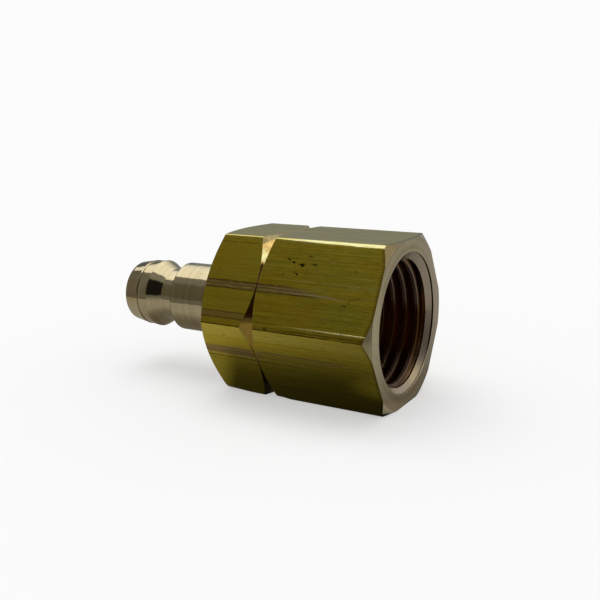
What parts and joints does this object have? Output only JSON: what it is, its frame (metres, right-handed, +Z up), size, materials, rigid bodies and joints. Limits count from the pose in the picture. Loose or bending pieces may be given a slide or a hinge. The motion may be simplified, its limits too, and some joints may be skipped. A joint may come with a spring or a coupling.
{
  "type": "quick-connect nipple adapter",
  "caption": "One-piece brass fitting for a welding hose: a hexagon with a left-hand female thread at one end and a quick-connect nipple at the other.",
  "frame": {"origin": "on the plane the lower hexagon flat lies on, under the middle of the overall length", "axes": "+X along the fitting's axis, out of the threaded mouth; -X out of the nipple; +Z up through a hexagon flat; +Y across two hexagon corners"},
  "size_m": [0.0382, 0.0218, 0.019],
  "materials": {
    "brass": "drawn flats, bright turned ends"
  },
  "bodies": {
    "root": {"adapter_body": "brass"}
  },
  "joints": []
}
